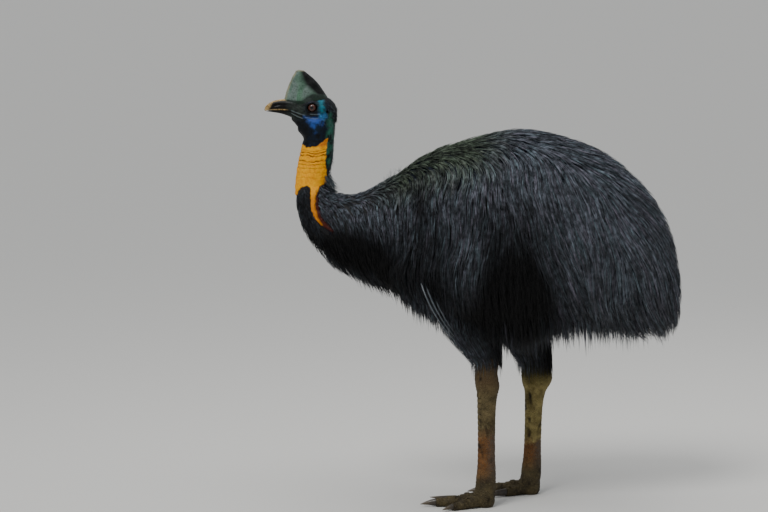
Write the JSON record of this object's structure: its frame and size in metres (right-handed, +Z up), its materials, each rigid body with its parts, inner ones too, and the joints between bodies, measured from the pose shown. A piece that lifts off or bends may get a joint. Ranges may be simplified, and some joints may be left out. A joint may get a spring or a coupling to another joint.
{
  "type": "northern cassowary",
  "caption": "Life-size standing northern cassowary with a tall casque, bare golden neck, drooping black coat, bare wing quills and three-toed clawed feet.",
  "frame": {"origin": "on the floor under the centre of the bird's bounding box, at the level of the soles", "axes": "+Z up, the bird looks along -X, its left side faces -Y"},
  "size_m": [1.2034, 0.4328, 1.259],
  "materials": {
    "plumage": "satin",
    "rump_plumage": "satin",
    "head_skin": "satin",
    "golden_skin": "satin",
    "casque_horn": "satin",
    "bill_horn": "satin",
    "leg_scales": "matte",
    "claw_horn": "satin",
    "iris": "gloss",
    "quill": "satin"
  },
  "bodies": {
    "root": {"head": "head_skin", "neck_upper": "golden_skin", "neck_lower": "plumage", "neck_base": "plumage", "torso": "plumage", "rump": "rump_plumage", "drumstick_left": "plumage", "drumstick_right": "plumage", "shank_left": "leg_scales", "shank_right": "leg_scales", "foot_left": "leg_scales", "foot_right": "leg_scales", "toe_inner_left": "leg_scales", "toe_inner_right": "leg_scales", "toe_middle_left": "leg_scales", "toe_middle_right": "leg_scales", "toe_outer_left": "leg_scales", "toe_outer_right": "leg_scales", "claw_inner_left": "claw_horn", "claw_inner_right": "claw_horn", "claw_middle_left": "claw_horn", "claw_middle_right": "claw_horn", "claw_outer_left": "claw_horn", "claw_outer_right": "claw_horn", "wing_left": "quill", "wing_right": "quill", "eye_left": "iris", "eye_right": "iris", "bill_upper": "bill_horn", "bill_lower": "bill_horn", "casque": "casque_horn"}
  },
  "joints": []
}
